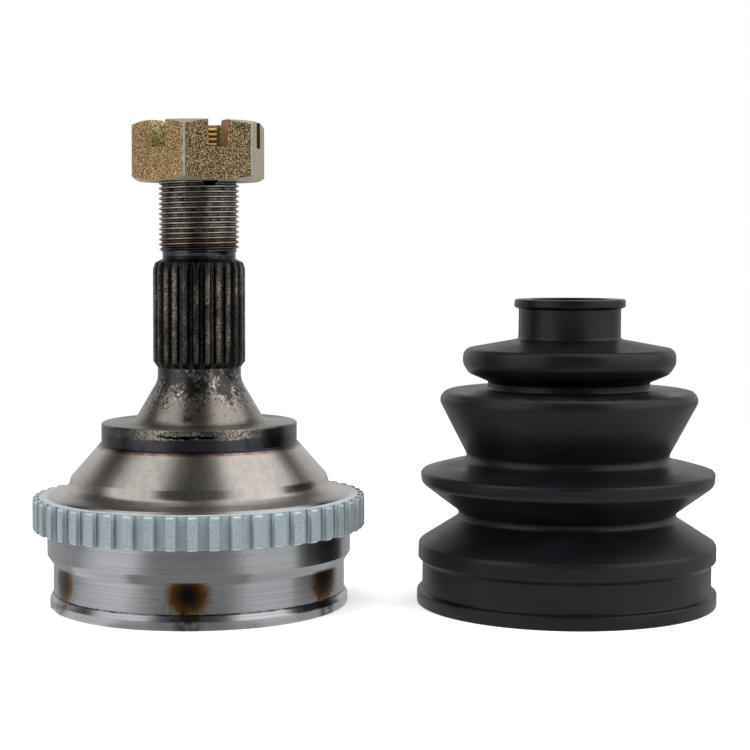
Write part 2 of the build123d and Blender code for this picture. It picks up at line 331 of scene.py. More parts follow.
def track_reach(height, azimuth):
    """How far from the axis the six ball tracks reach at a height and azimuth."""
    off = from_gap(azimuth, track_count, track_azimuth + 180 / track_count)
    tries = np.linspace(*track_search, 90)[:, None, None]
    out = tries * np.cos(off)
    side = tries * np.sin(off)
    up = height - track_centre_h
    climb = np.minimum(np.arctan2(up, out), radians(track_top))
    gap = np.sqrt(
        (out - track_r * np.cos(climb))**2 + side**2 + (up - track_r * np.sin(climb))**2
    )
    return (tries * (gap < track_groove_r)).max(axis=0)


# Pieces

def bell():
    """Outside of the bell up to the spline, and its bore with the ball tracks."""
    azimuth = columns(480)
    outside = rounded([
        (mouth_r, 0, 0),
        (lip_r - 0.3, 0, 0),
        (lip_r, 0.3, 0),
        (lip_r, lip_h, 0.9),
        (seat_r, seat_h, 0.5),
        (seat_r, seat_top_h, 0.6),
        (band_r, band_h, 0.5),
        (band_r, shoulder_h - 0.6, 0.2),
        (band_r - 0.6, shoulder_h, 0.2),
        (41.0, neck_h - 0.2, 2.0),
        (38.5, neck_h + 1.2, 3.0),
        (bell_neck_r, cone_h - 0.2, 0.8),
        (collar_r + 0.3, collar_h, 0.25),
        (collar_r, collar_h, 0.15),
        (collar_r, collar_top_h - 0.4, 0.25),
        (collar_r - 0.4, collar_top_h, 0.25),
        (root_cone_r, collar_top_h, 4.0),
        (stub_neck_r, stub_neck_h, 6.0),
        (stub_neck_r, spline_h + 0.1, 0),
    ], step=8)
    out_r, out_h = rows(outside, azimuth)
    in_h = spread(np.linspace(0, ceiling_h, 90)[::-1], azimuth)
    sphere = np.sqrt(np.maximum(cage_bore_r**2 - (in_h - bend_h)**2, 0))
    cone = mouth_r - in_h * tan(radians(mouth_slope))
    in_r = np.maximum(np.maximum(sphere, cone), track_reach(in_h, azimuth[None, :]))
    # The section runs up the outside, in to the axis, down it to the ceiling of the bore and
    # out along the bore to the mouth.
    radius = np.concatenate([out_r, spread([near_axis] * 2, azimuth), in_r])
    height = np.concatenate([out_h, spread([spline_h + 0.1, ceiling_h], azimuth), in_h])
    return turned_mesh("bell", radius, height, azimuth, closed=True)


def stub_spline():
    """Splined stretch of the stub, from its neck to the relief under the thread."""
    azimuth = columns(spline_teeth * 24, spline_azimuth)
    section = rounded([
        (stub_neck_r - 0.4, spline_h - 0.3, 0),
        (stub_neck_r, spline_h, 0),
        (spline_r, spline_h + 1.8, 0.6),
        (spline_r, spline_end_h - 1.9, 1.2),
        (spline_r - 0.6, spline_end_h, 0.5),
        (relief_r, relief_h, 0.3),
        (relief_r, relief_h + 0.9, 0),
    ], step=10)
    radius, height = rows(section, azimuth)
    off = from_gap(azimuth, spline_teeth, spline_azimuth)
    wall = gap_radius(off, spline_root_r, spline_root_w, spline_flank)[None, :]
    cut = soft_min(radius, soft_max(wall, spline_root_r, 0.25), 0.28)
    in_teeth = height < relief_h
    radius = np.where(in_teeth, np.minimum(cut, radius), radius)
    return turned_mesh("stub_spline", radius, height, azimuth)


def stub_thread():
    """Threaded end of the stub, with its relief groove, split pin hole and lathe centre."""
    azimuth = columns(240)
    first_h = relief_h + 1.8
    below = [(relief_r, relief_h + 0.8), (relief_r, first_h)]
    count = round((stub_end_h - first_h) / thread_pitch * 14)
    section = np.array(below + [(thread_r, h) for h in np.linspace(first_h, stub_end_h, count)])
    radius, height = rows(section, azimuth)
    form = thread_form(height, azimuth[None, :], thread_h)
    cut = thread_root_r + (thread_r - thread_root_r) * form
    run_in = relief_r + (height - first_h) * 0.85
    chamfer = thread_r - thread_pitch + (stub_end_h - height)
    radius = np.minimum(radius, np.minimum(np.maximum(relief_r, np.minimum(cut, run_in)), chamfer))
    radius[:1] = relief_r
    radius = np.where(in_pin_hole(radius, height, azimuth), pin_hole_floor_r, radius)
    hole_r, hole_h = rows(np.array([
        (3.2, stub_end_h),
        (1.6, stub_end_h - 2.77),
        (1.6, stub_end_h - 8.0),
        (near_axis, stub_end_h - 8.9),
    ]), azimuth)
    radius = np.concatenate([radius, hole_r])
    height = np.concatenate([height, hole_h])
    return turned_mesh("stub_thread", radius, height, azimuth, smooth_angle=50)


def in_pin_hole(radius, height, azimuth):
    """Where the wall of the thread is cut away by the cross hole."""
    off = (azimuth - radians(pin_hole_azimuth) + pi / 2) % pi - pi / 2
    return (radius * np.sin(off))**2 + (height - pin_hole_h)**2 < pin_hole_r**2


def toothed_ring():
    """Speed ring with straight teeth, their edges slightly rounded."""
    azimuth = columns(ring_teeth * 16, ring_azimuth)
    steps = [0, 0.15, 0.35, 0.6]
    top = ring_top_h - ring_h
    levels = np.array(steps + [1.5, top / 2, top - 1.5] + [top - s for s in steps[::-1]])
    off = from_gap(azimuth, ring_teeth, ring_azimuth)
    tip_gap = 2 * pi * ring_tip_r / ring_teeth - ring_tooth_w
    root_gap = tip_gap - 2 * (ring_tip_r - ring_root_r) * tan(radians(ring_flank))
    wall = gap_radius(off, ring_root_r, root_gap, ring_flank)[None, :]
    from_end = np.minimum(levels, top - levels)[:, None]
    edge = soft_min(ring_tip_r - 0.5 + from_end, ring_tip_r, 0.2)
    teeth = soft_min(edge, soft_max(wall, ring_root_r, 0.3), 0.3)
    inner = spread([band_r - 0.02], azimuth)
    radius = np.concatenate([inner, teeth, inner])
    height = spread([ring_h, *(ring_h + levels), ring_top_h], azimuth)
    return turned_mesh("toothed_ring", radius, height, azimuth, closed=True, smooth_angle=40)


def castle_nut():
    """Hexagon nut with rounded chamfers, a thread inside and a slot across each pair of faces."""
    azimuth = columns(288, nut_azimuth)
    off = (azimuth - radians(nut_azimuth) + pi / 6) % (pi / 3) - pi / 6
    flat_r = nut_flats / 2 / np.cos(off)
    next_r = nut_flats / 2 / np.cos(pi / 3 - np.abs(off))
    hexagon = soft_min(flat_r, next_r, 0.35)[None, :]
    top = nut_top_h - nut_h
    end_levels = np.linspace(0, 1.8, 13)
    levels = np.concatenate([end_levels, np.linspace(2.4, top - 2.4, 5), top - end_levels[::-1]])
    from_end = np.minimum(levels, top - levels)[:, None]
    cone = nut_face_r + from_end / tan(radians(nut_chamfer))
    out_r = soft_min(hexagon, cone, 0.3)
    out_h = spread(nut_h + levels, azimuth)
    inside = np.linspace(top, 0, round(top / thread_pitch * 12))[:, None]
    in_h = spread(nut_h + inside, azimuth)
    form = thread_form(in_h, azimuth[None, :], thread_h + thread_pitch / 2)
    sink = nut_bore_r + nut_sink - np.minimum(inside, top - inside)
    in_r = np.maximum(nut_bore_r - (nut_bore_r - nut_minor_r) * form, sink)
    radius = np.concatenate([out_r, in_r])
    height = np.concatenate([out_h, in_h])
    nut = turned_mesh("castle_nut", radius, height, azimuth, closed=True)
    for turn in range(3):
        cut_slot(nut, nut_azimuth + 60 * turn)
    tidy_mesh(nut.data, 30)
    return nut


def cut_slot(nut, azimuth):
    """Cuts one slot right across the castle of the nut."""
    cutter_mesh = bpy.data.meshes.new("slot")
    work = bmesh.new()
    bmesh.ops.create_cube(work, size=1)
    size = Vector((nut_slot_w, 60, 2 * nut_slot_h)) * MM
    bmesh.ops.scale(work, vec=size, verts=work.verts)
    work.to_mesh(cutter_mesh)
    work.free()
    cutter = add_object("slot", cutter_mesh)
    cutter.location = (0, 0, (floor_z + nut_top_h) * MM)
    cutter.rotation_euler = (0, 0, radians(azimuth))
    cut = nut.modifiers.new("slot", "BOOLEAN")
    cut.operation = "DIFFERENCE"
    cut.solver = "EXACT"
    cut.object = cutter
    bpy.context.view_layer.update()
    result = bpy.data.meshes.new_from_object(nut.evaluated_get(bpy.context.evaluated_depsgraph_get()))
    nut.modifiers.remove(cut)
    nut.data = result
    bpy.data.objects.remove(cutter)


def rubber_boot():
    """Bellows with thin clamp grooves, its inside, a parting line on both sides and a slight lean."""
    folds = [
        (cuff_top_r, cuff_top_h, 0.5),
        (cuff_top_r, 17.9, 1.5),
        (30.9, 26.3, 1.7),
        (43.2, 35.5, 2.5),
        (43.5, 39.1, 0.9),
        (36.8, 40.9, 8.0),
        (28.9, 42.1, 2.1),
        (39.7, 62.8, 2.7),
        (23.9, 63.2, 0.8),
        (23.9, 65.6, 0.8),
        (29.6, 68.0, 3.0),
        (31.5, 71.0, 3.4),
        (31.3, 75.2, 3.6),
        (boot_neck_r, 78.2, 1.2),
        (boot_neck_r, 87.2, 0.4),
    ]
    outside = rounded([
        (cuff_bore_r, 0, 0),
        (cuff_bead_r - 0.25, 0, 0.3),
        (cuff_bead_r, 0.3, 0.3),
        (cuff_bead_r, cuff_bead_h, 0.5),
        (cuff_groove_r, cuff_bead_h + 0.5, 0.4),
        (cuff_groove_r, cuff_top_h - 1.3, 0.4),
        *folds,
        (boot_lip_r, 87.7, 0.5),
        (boot_lip_r, boot_h, 0.6),
        (boot_bore_r, boot_h, 0.4),
        (boot_bore_r, boot_h - 2, 0),
    ], step=8)
    inner = parallel(folds, boot_wall)
    inside = rounded([
        (boot_bore_r, boot_h - 2, 0),
        (boot_bore_r, inner[-1][1], 0.4),
        *inner[::-1],
        (cuff_bore_r, cuff_top_h, 0.4),
        (cuff_bore_r, cuff_ridge_h + 0.9, 0.2),
        (cuff_bore_r - 0.9, cuff_ridge_h, 0.4),
        (cuff_bore_r, cuff_ridge_h - 0.9, 0.2),
        (cuff_bore_r, 0.3, 0),
    ], step=10)
    beside = np.radians(seam_offsets)
    azimuth = np.sort(np.concatenate([columns(270), beside + pi / 2, beside + 3 * pi / 2]))
    radius, height = rows(np.concatenate([outside, inside[1:]]), azimuth)
    on_outside = (np.arange(len(radius)) < len(outside) - 2)[:, None] & (height > cuff_bead_h + 0.7)
    radius = np.where(on_outside, with_seam(radius, height, azimuth), radius)
    boot = turned_mesh("rubber_boot", radius, height, azimuth, closed=True, centre_x=boot_x)
    lean(boot)
    return boot


def with_seam(radius, height, azimuth):
    """Radii with a ragged ridge at both sides of the boot, never wider than the cuff's bead."""
    off = np.degrees(np.abs(azimuth % pi - pi / 2))
    line = np.exp(-(off / seam_w)**2)[None, :]
    ragged = 0.26 + 0.1 * np.sin(height * 5.1) * np.sin(height * 1.7)
    widest = cuff_bead_r - height / boot_h * boot_lean
    return np.minimum(radius + ragged * line, np.maximum(radius, widest))


def lean(boot):
    """Tips the boot's top towards +X, as it stands in the photo."""
    for point in boot.data.vertices:
        point.co.x += (point.co.z / MM - floor_z) / boot_h * boot_lean * MM


# Node trees

def tone(red, green, blue):
    """Linear colour of a screen colour from 0 to 255."""
    parts = (c / 255 for c in (red, green, blue))
    return tuple(c / 12.92 if c < 0.04045 else ((c + 0.055) / 1.055)**2.4 for c in parts)


class Nodes:
    """A node tree built by calls that read like formulas."""

    def __init__(self, tree, coordinate="Object"):
        self.tree = tree
        self.place = self.node("ShaderNodeTexCoord").outputs[coordinate]
        parts = self.node("ShaderNodeSeparateXYZ")
        self.feed(parts.inputs[0], self.place)
        self.x, self.y, self.z = parts.outputs

    def node(self, kind, **settings):
        made = self.tree.nodes.new(kind)
        for key, value in settings.items():
            setattr(made, key, value)
        return made

    def feed(self, socket, value):
        """Links a socket to another one, or sets it to a number or colour."""
        if isinstance(value, bpy.types.NodeSocket):
            self.tree.links.new(value, socket)
        elif isinstance(value, tuple) and socket.type == "RGBA":
            socket.default_value = (*value, 1.0)
        else:
            socket.default_value = value

    def math(self, operation, *values):
        made = self.node("ShaderNodeMath", operation=operation)
        for socket, value in zip(made.inputs, values):
            self.feed(socket, value)
        return made.outputs[0]

    def add(self, a, b):
        return self.math("ADD", a, b)

    def times(self, a, b):
        return self.math("MULTIPLY", a, b)

    def larger(self, a, b):
        return self.math("MAXIMUM", a, b)

    def between(self, value, low, high, first=0.0, last=1.0):
        """Smooth change from first to last as a value goes from low to high."""
        made = self.node("ShaderNodeMapRange", interpolation_type="SMOOTHSTEP")
        for socket, number in zip(made.inputs, (value, low, high, first, last)):
            self.feed(socket, number)
        return made.outputs[0]

    def band(self, value, low, high, soft):
        """1 from low to high, falling to 0 within a soft distance outside."""
        rise = self.between(value, low - soft, low)
        fall = self.between(value, high, high + soft, 1.0, 0.0)
        return self.times(rise, fall)

    def vector(self, x, y, z):
        made = self.node("ShaderNodeCombineXYZ")
        for socket, value in zip(made.inputs, (x, y, z)):
            self.feed(socket, value)
        return made.outputs[0]

    def noise(self, scale, detail=3.0, rough=0.55, vector=None):
        made = self.node("ShaderNodeTexNoise")
        self.feed(made.inputs["Vector"], vector or self.place)
        made.inputs["Scale"].default_value = scale
        made.inputs["Detail"].default_value = detail
        made.inputs["Roughness"].default_value = rough
        return made.outputs["Fac"]

    def blend(self, share, first, second):
        """Surface that goes from the first to the second as the share goes from 0 to 1."""
        made = self.node("ShaderNodeMixShader")
        for socket, value in zip(made.inputs, (share, first, second)):
            self.feed(socket, value)
        return made.outputs[0]

    def glow(self, strength):
        made = self.node("ShaderNodeEmission")
        self.feed(made.inputs["Strength"], strength)
        return made.outputs[0]

    def mix(self, share, first, second):
        made = self.node("ShaderNodeMix", data_type="RGBA")
        self.feed(made.inputs[0], share)
        self.feed(made.inputs[6], first)
        self.feed(made.inputs[7], second)
        return made.outputs[2]

    def ramp(self, value, *stops):
        """Colour ramp through stops of a place from 0 to 1 and a colour."""
        made = self.node("ShaderNodeValToRGB")
        self.feed(made.inputs[0], value)
        marks = made.color_ramp.elements
        while len(marks) < len(stops):
            marks.new(1.0)
        for mark, (place, colour) in zip(marks, stops):
            mark.position = place
            mark.color = (*colour, 1.0)
        return made.outputs[0]


class Finish(Nodes):
    """A material's surface, with the places on the joint that its colours follow."""

    def __init__(self, name, axis_x=0.0):
        self.material = bpy.data.materials.new(name)
        self.material.use_nodes = True
        super().__init__(self.material.node_tree)
        self.surface = self.tree.nodes["Principled BSDF"]
        self.height = self.math("MULTIPLY_ADD", self.z, 1 / MM, -floor_z)
        across = self.math("MULTIPLY_ADD", self.x, 1 / MM, -axis_x)
        deep = self.times(self.y, 1 / MM)
        self.radius = self.math("SQRT", self.add(self.times(across, across), self.times(deep, deep)))
        self.turn = self.math("ARCTAN2", across, self.times(deep, -1.0))

    def lines(self, pitch, waver=0.006):
        """Fine turning marks that run round the axis, about a pitch in mm apart."""
        along = self.math("MULTIPLY_ADD", self.radius, 0.37, self.height)
        around_x = self.math("MULTIPLY_ADD", self.x, waver / MM, 0.5)
        around_y = self.math("MULTIPLY_ADD", self.y, waver / MM, 0.5)
        vector = self.vector(around_x, around_y, self.times(along, 1 / pitch))
        return self.noise(1.0, 2.0, 0.6, vector)

    def bump(self, height, depth_mm, strength=1.0, under=None):
        made = self.node("ShaderNodeBump")
        self.feed(made.inputs["Height"], height)
        made.inputs["Distance"].default_value = depth_mm * MM
        made.inputs["Strength"].default_value = strength
        if under:
            self.feed(made.inputs["Normal"], under)
        return made.outputs["Normal"]

    def soft_edges(self, radius_mm):
        """Normals that look as if the edges were slightly rounded."""
        made = self.node("ShaderNodeBevel", samples=4)
        made.inputs["Radius"].default_value = radius_mm * MM
        return made.outputs["Normal"]

    def lathe(self, amount):
        """Stretches highlights across turning marks that run round the axis."""
        along = self.node("ShaderNodeTangent", direction_type="RADIAL", axis="Z")
        self.feed(self.surface.inputs["Tangent"], along.outputs[0])
        self.surface.inputs["Anisotropic"].default_value = amount
        self.surface.inputs["Anisotropic Rotation"].default_value = 0.25

    def done(self, colour, roughness, metallic=1.0, normal=None, specular=0.5):
        self.feed(self.surface.inputs["Base Color"], colour)
        self.feed(self.surface.inputs["Roughness"], roughness)
        self.surface.inputs["Metallic"].default_value = metallic
        self.surface.inputs["Specular IOR Level"].default_value = specular
        if normal:
            self.feed(self.surface.inputs["Normal"], normal)
        return self.material


# Finishes

def bell_finish():
    """Turned and hardened bell: grey bands with heat spots, warm cone, blued collar, blackened neck."""
    f = Finish("bell_steel")
    cloud = f.noise(45, 3.0)
    fine = f.lines(0.35)
    grey = f.mix(f.between(f.lines(0.5), 0.3, 0.7), tone(174, 175, 179), tone(190, 191, 194))
    warm = f.mix(cloud, tone(186, 180, 174), tone(200, 194, 187))
    streaks = f.noise(1.0, 3.0, 0.6, f.vector(f.times(f.x, 460), f.times(f.y, 460), f.times(f.z, 60)))
    warm = f.mix(f.between(streaks, 0.35, 0.65, 0.0, 0.5), warm, tone(168, 162, 156))
    colour = f.mix(f.between(f.height, *warm_h), grey, warm)
    specks = f.between(f.noise(1300, 3.0, 0.6), 0.66, 0.7, 0.0, 0.55)
    colour = f.mix(specks, colour, tone(84, 78, 72))
    colour = heat_spots(f, colour)
    colour = collar_finish(f, colour)
    colour = stub_neck_finish(f, colour)
    # Painted shade: a dark line in the corner at the foot of the seat, above the lip's slope, its
    # strength varied by noise.
    corner = f.times(f.band(f.height, seat_h - 0.1, seat_h + 0.1, 0.3), f.between(f.radius, 40, 42))
    painted_corner_shade = f.between(f.noise(300, 3.0), 0.3, 0.6, 0.35, 0.95)
    colour = f.mix(f.times(corner, painted_corner_shade), colour, tone(38, 35, 33))
    on_stub = f.between(f.height, collar_h - 0.5, collar_h)
    roughness = f.add(f.between(cloud, 0.35, 0.65, 0.26, 0.32), f.times(on_stub, 0.08))
    f.lathe(0.7)
    return f.done(colour, roughness, 1.0, f.bump(fine, 0.004, 0.4))


def heat_spots(f, colour):
    """Six burn marks of induction hardening on the boot seat."""
    pitch = 2 * pi / track_count
    place = f.times(f.add(f.turn, -radians(burn_azimuth)), 1 / pitch)
    off = f.math("SUBTRACT", f.math("FRACT", f.add(place, 0.5)), 0.5)
    side = f.times(off, pitch * seat_r)
    up = f.times(f.add(f.height, -burn_h), 0.95)
    reach = f.math("SQRT", f.add(f.times(side, side), f.times(up, up)))
    ragged = f.times(f.add(f.noise(420, 4.0, 0.7), -0.5), 3.4)
    away = f.times(f.add(reach, ragged), 0.1)
    burn = f.ramp(
        away,
        (0.0, tone(26, 28, 42)), (0.15, tone(38, 34, 40)), (0.26, tone(66, 46, 34)),
        (0.4, tone(108, 74, 40)), (0.56, tone(148, 120, 84)), (0.75, tone(172, 162, 146)),
    )
    from_lip = f.between(f.height, seat_h - 0.3, seat_h + 0.2, 0.3, 1.0)
    on_seat = f.times(from_lip, f.between(f.height, seat_top_h + 1.0, seat_top_h + 0.2))
    outside = f.between(f.radius, seat_r - 1.45, seat_r - 0.45)
    share = f.times(f.times(f.between(away, 0.82, 0.45), on_seat), outside)
    soot = f.times(f.between(f.noise(1100, 3.0), 0.56, 0.66), f.between(away, 1.0, 0.6))
    soot = f.times(f.times(soot, f.between(f.height, burn_h - 0.2, seat_h - 0.2)), outside)
    on_lip = f.between(f.height, seat_h + 0.2, seat_h - 0.6)
    trail = f.times(f.between(f.math("ABSOLUTE", side), 5.0, 2.0), on_lip)
    stain = f.times(f.times(trail, outside), f.between(f.noise(500, 4.0), 0.3, 0.6, 0.2, 0.8))
    colour = f.mix(share, colour, burn)
    colour = f.mix(f.times(soot, 0.85), colour, tone(30, 24, 20))
    return f.mix(stain, colour, tone(76, 54, 36))


def collar_finish(f, colour):
    """Collar: worn phosphate above, a blue-black hardened band below and a tint line on the cone."""
    on_cone = f.between(f.radius, collar_r + 2.6, collar_r + 1.2)
    ragged = f.between(f.noise(220, 4.0), 0.35, 0.6, 0.4, 1.0)
    fringe = f.band(f.height, collar_h - 0.95, collar_h - 0.7, 0.5)
    colour = f.mix(f.times(f.times(fringe, on_cone), ragged), colour, tone(146, 98, 56))
    line = f.times(f.band(f.height, collar_h - 0.5, collar_h - 0.1, 0.2), on_cone)
    colour = f.mix(line, colour, tone(50, 56, 74))
    outside = f.between(f.radius, collar_r - 0.6, collar_r - 0.2)
    side = f.times(f.band(f.height, collar_h, collar_top_h, 0.05), outside)
    patches = f.noise(170, 5.0, 0.72, f.vector(f.x, f.y, f.times(f.z, 0.8)))
    front = f.between(f.math("ABSOLUTE", f.add(f.turn, 0.02)), 1.25, 0.5, 0.22, 1.0)
    level = f.add(f.height, f.times(f.add(patches, -0.5), 2.4))
    upper = f.times(f.between(level, collar_h + 3.0, collar_h + 3.5), front)
    worn = f.mix(f.between(f.noise(2100, 5.0, 0.85), 0.44, 0.58), tone(52, 46, 42), tone(222, 212, 198))
    dark_side = f.between(f.noise(75, 3.0), 0.4, 0.6, 0.1, 0.75)
    worn = f.mix(dark_side, worn, tone(72, 68, 66))
    wander = f.times(f.add(f.noise(170, 3.0, 0.7), -0.5), 3.0)
    off_crack = f.math("ABSOLUTE", f.add(f.add(f.height, wander), -collar_h - 3.9))
    cracks = f.times(f.between(off_crack, 0.46, 0.3), f.band(f.turn, -0.28, 0.2, 0.1))
    upper = f.larger(upper, cracks)
    worn = f.mix(cracks, worn, tone(12, 11, 11))
    band = f.mix(f.between(patches, 0.35, 0.6), tone(54, 57, 66), tone(78, 77, 80))
    colour = f.mix(side, colour, f.mix(upper, band, worn))
    flat = f.between(f.radius, root_cone_r - 0.45, root_cone_r + 1.05)
    top = f.times(f.between(f.height, collar_top_h - 0.35, collar_top_h - 0.1), flat)
    dull = f.mix(f.noise(160, 4.0), tone(120, 118, 116), tone(156, 152, 147))
    return f.mix(top, colour, dull)


def stub_neck_finish(f, colour):
    """Root cone of the stub: bare below, specked higher up, and blackened with peeling patches above."""
    above = f.between(f.height, collar_top_h + 0.2, collar_top_h + 0.9)
    bare = f.mix(f.noise(90, 4.0), tone(140, 133, 125), tone(172, 164, 155))
    dull = f.between(f.height, collar_top_h + 2.0, stub_neck_h, 0.0, 0.6)
    bare = f.mix(dull, bare, tone(108, 102, 96))
    pale = f.between(f.noise(900, 4.0, 0.8), 0.5, 0.6)
    bare = f.mix(f.times(f.times(dull, pale), 1.6), bare, tone(240, 230, 214))
    colour = f.mix(above, colour, bare)
    rise = f.between(f.height, collar_top_h + 2.0, stub_neck_h + 0.5)
    upright = f.vector(f.x, f.y, f.times(f.z, 0.5))
    patches = f.add(f.times(f.noise(230, 3.0, 0.6, upright), 0.5), f.times(f.noise(800, 5.0, 0.85), 0.5))
    specks = f.noise(1000, 3.0, 0.6, f.vector(f.x, f.y, f.times(f.z, 0.6)))
    black = f.between(f.add(f.times(rise, 0.14), patches), 0.6, 0.62)
    speck = f.between(f.add(f.times(rise, 0.12), specks), 0.62, 0.65)
    dark = f.mix(f.noise(300, 3.0), tone(56, 57, 61), tone(92, 90, 90))
    share = f.times(f.larger(black, speck), above)
    return f.mix(share, colour, dark)


def spline_finish():
    """Blackened spline whose tooth tops are rubbed grey-brown, with black-blue ends."""
    f = Finish("spline_steel")
    top = f.between(f.radius, spline_r - 0.75, spline_r - 0.1)
    flecks = f.noise(2300, 5.0, 0.85, f.vector(f.x, f.y, f.times(f.z, 0.85)))
    broad = f.noise(140, 4.0, 0.6)
    worn = f.times(f.between(f.add(f.times(flecks, 0.7), f.times(broad, 0.4)), 0.53, 0.64), top)
    low = f.between(f.height, spline_h + 1.0, spline_h + 9.0, 0.35, 1.0)
    worn = f.times(worn, f.times(low, f.between(f.height, spline_end_h - 0.8, spline_end_h - 3.0)))
    shade = f.mix(f.between(f.noise(1500, 4.0, 0.8), 0.35, 0.65), tone(14, 13, 13), tone(72, 68, 64))
    shade = f.mix(f.times(top, 0.6), shade, tone(70, 68, 68))
    rubbed = f.mix(f.between(f.noise(3000, 3.0, 0.8), 0.4, 0.62), tone(60, 54, 48), tone(206, 196, 182))
    colour = f.mix(worn, shade, rubbed)
    normal = f.bump(flecks, 0.05, 0.5)
    return f.done(colour, f.between(worn, 0.0, 1.0, 0.32, 0.5), 1.0, normal)


def thread_finish():
    """Cut thread with bright crests, a faint bronze heat tint low down and a blued relief."""
    f = Finish("thread_steel")
    crest = f.between(f.radius, thread_r - 0.24, thread_r - 0.04)
    cloud = f.noise(700, 4.0, 0.7)
    root = f.mix(f.between(cloud, 0.35, 0.65), tone(72, 62, 54), tone(152, 141, 130))
    bright = f.mix(f.noise(500, 3.0), tone(180, 178, 174), tone(222, 220, 216))
    colour = f.mix(crest, root, bright)
    tint = f.between(f.height, thread_h + 6.0, thread_h + 1.5)
    bronze = f.mix(crest, tone(70, 50, 36), tone(176, 144, 104))
    colour = f.mix(f.times(tint, 0.7), colour, bronze)
    blued = f.between(f.height, thread_h + 0.9, thread_h + 0.1)
    colour = f.mix(blued, colour, tone(84, 84, 92))
    # Painted shade: darker within 7 mm of the axis, in the cross hole and the centre hole; it also
    # darkens the middle of the stub's end face.
    colour = f.mix(f.between(f.radius, 7.0, 6.0), colour, tone(60, 58, 56))
    normal = f.bump(cloud, 0.02, 0.4)
    return f.done(colour, f.between(blued, 0.0, 1.0, 0.36, 0.22), 1.0, normal)


def ring_finish():
    """Pale blue-grey zinc plate with a fine grain, painted highlights along the tooth edges and painted
    shade at the teeth's feet.
    """
    f = Finish("ring_zinc")
    grain = f.noise(1700, 3.0, 0.6)
    cloud = f.noise(70, 3.0)
    share = f.add(f.times(f.between(grain, 0.3, 0.7), 0.6), f.times(cloud, 0.4))
    tip = f.mix(share, tone(118, 130, 135), tone(156, 167, 171))
    gap = f.mix(share, tone(150, 163, 168), tone(186, 196, 200))
    colour = f.mix(f.between(f.radius, ring_root_r + 0.5, ring_tip_r - 0.4), gap, tip)
    # Painted highlight: pale blue-grey lines along the teeth's edges, near the tip radius.
    edge = f.band(f.radius, ring_tip_r - 0.24, ring_tip_r - 0.1, 0.06)
    colour = f.mix(f.times(edge, 0.5), colour, tone(214, 224, 228))
    # Painted shade: dark lines at the foot of each tooth's flanks.
    root = f.band(f.radius, ring_root_r + 0.12, ring_root_r + 0.5, 0.1)
    colour = f.mix(f.times(root, 0.6), colour, tone(70, 88, 94))
    return f.done(colour, f.between(grain, 0.3, 0.7, 0.42, 0.52), 0.2, f.bump(grain, 0.025, 0.5))


def nut_finish():
    """Yellow passivated zinc: glittering rough faces, pale chamfers, painted highlights along the edges
    and iridescent slots.
    """
    f = Finish("yellow_zinc")
    grit = f.noise(3200, 3.0, 0.75, f.vector(f.x, f.y, f.times(f.z, 0.9)))
    off = f.add(f.turn, -radians(nut_azimuth))
    sixths = f.times(off, 3 / pi)
    from_middle = f.times(f.math("SUBTRACT", f.math("FRACT", f.add(sixths, 0.5)), 0.5), pi / 3)
    flat = f.times(f.radius, f.math("COSINE", from_middle))
    across = f.times(f.radius, f.math("ABSOLUTE", f.math("SINE", from_middle)))
    face = f.math("MODULO", f.add(f.math("ROUND", sixths), 6.0), 3.0)
    pale_face = f.between(f.math("ABSOLUTE", f.add(face, -1.0)), 0.5, 0.4)
    colour = nut_faces(f, grit, face, pale_face)
    colour = nut_edges(f, colour, flat, across)
    slot_wall = f.times(
        f.between(across, nut_slot_w / 2 + 0.06, nut_slot_w / 2 + 0.02),
        f.between(f.height, nut_top_h - nut_slot_h - 0.1, nut_top_h - nut_slot_h + 0.02),
    )
    in_slot = f.times(slot_wall, f.between(flat, nut_flats / 2 - 0.02, nut_flats / 2 - 0.12))
    colour = f.mix(in_slot, colour, slot_tint(f, off))
    bore = f.between(f.radius, nut_bore_r + 0.2, nut_bore_r)
    deep = f.between(f.radius, nut_minor_r + 0.1, nut_bore_r - 0.1)
    colour = f.mix(bore, colour, f.mix(deep, tone(250, 228, 140), tone(132, 90, 52)))
    smooth = f.larger(f.larger(in_slot, bore), f.times(pale_face, 0.6))
    calm = f.between(smooth, 0.0, 1.0, 1.0, 0.12)
    normal = f.bump(f.times(grit, calm), 0.16, 0.7, f.soft_edges(0.25))
    return f.done(colour, f.between(grit, 0.3, 0.7, 0.42, 0.3), 0.75, normal)


def nut_faces(f, grit, face, pale_face):
    """Colour of the faces: each opposite pair is warm, olive or pale."""
    warm = f.ramp(grit, (0.37, tone(40, 28, 15)), (0.5, tone(126, 97, 61)), (0.62, tone(250, 216, 158)))
    olive = f.ramp(grit, (0.4, tone(20, 16, 13)), (0.53, tone(84, 66, 46)), (0.64, tone(248, 218, 166)))
    pale = f.mix(f.between(f.noise(1900, 3.0), 0.35, 0.65), tone(126, 112, 86), tone(190, 176, 148))
    olive_face = f.between(f.math("ABSOLUTE", face), 0.5, 0.4)
    cloud = f.noise(120, 3.0)
    colour = f.mix(f.between(cloud, 0.4, 0.6, 0.0, 0.35), warm, olive)
    colour = f.mix(f.times(olive_face, 0.85), colour, olive)
    return f.mix(f.times(pale_face, 0.8), colour, pale)


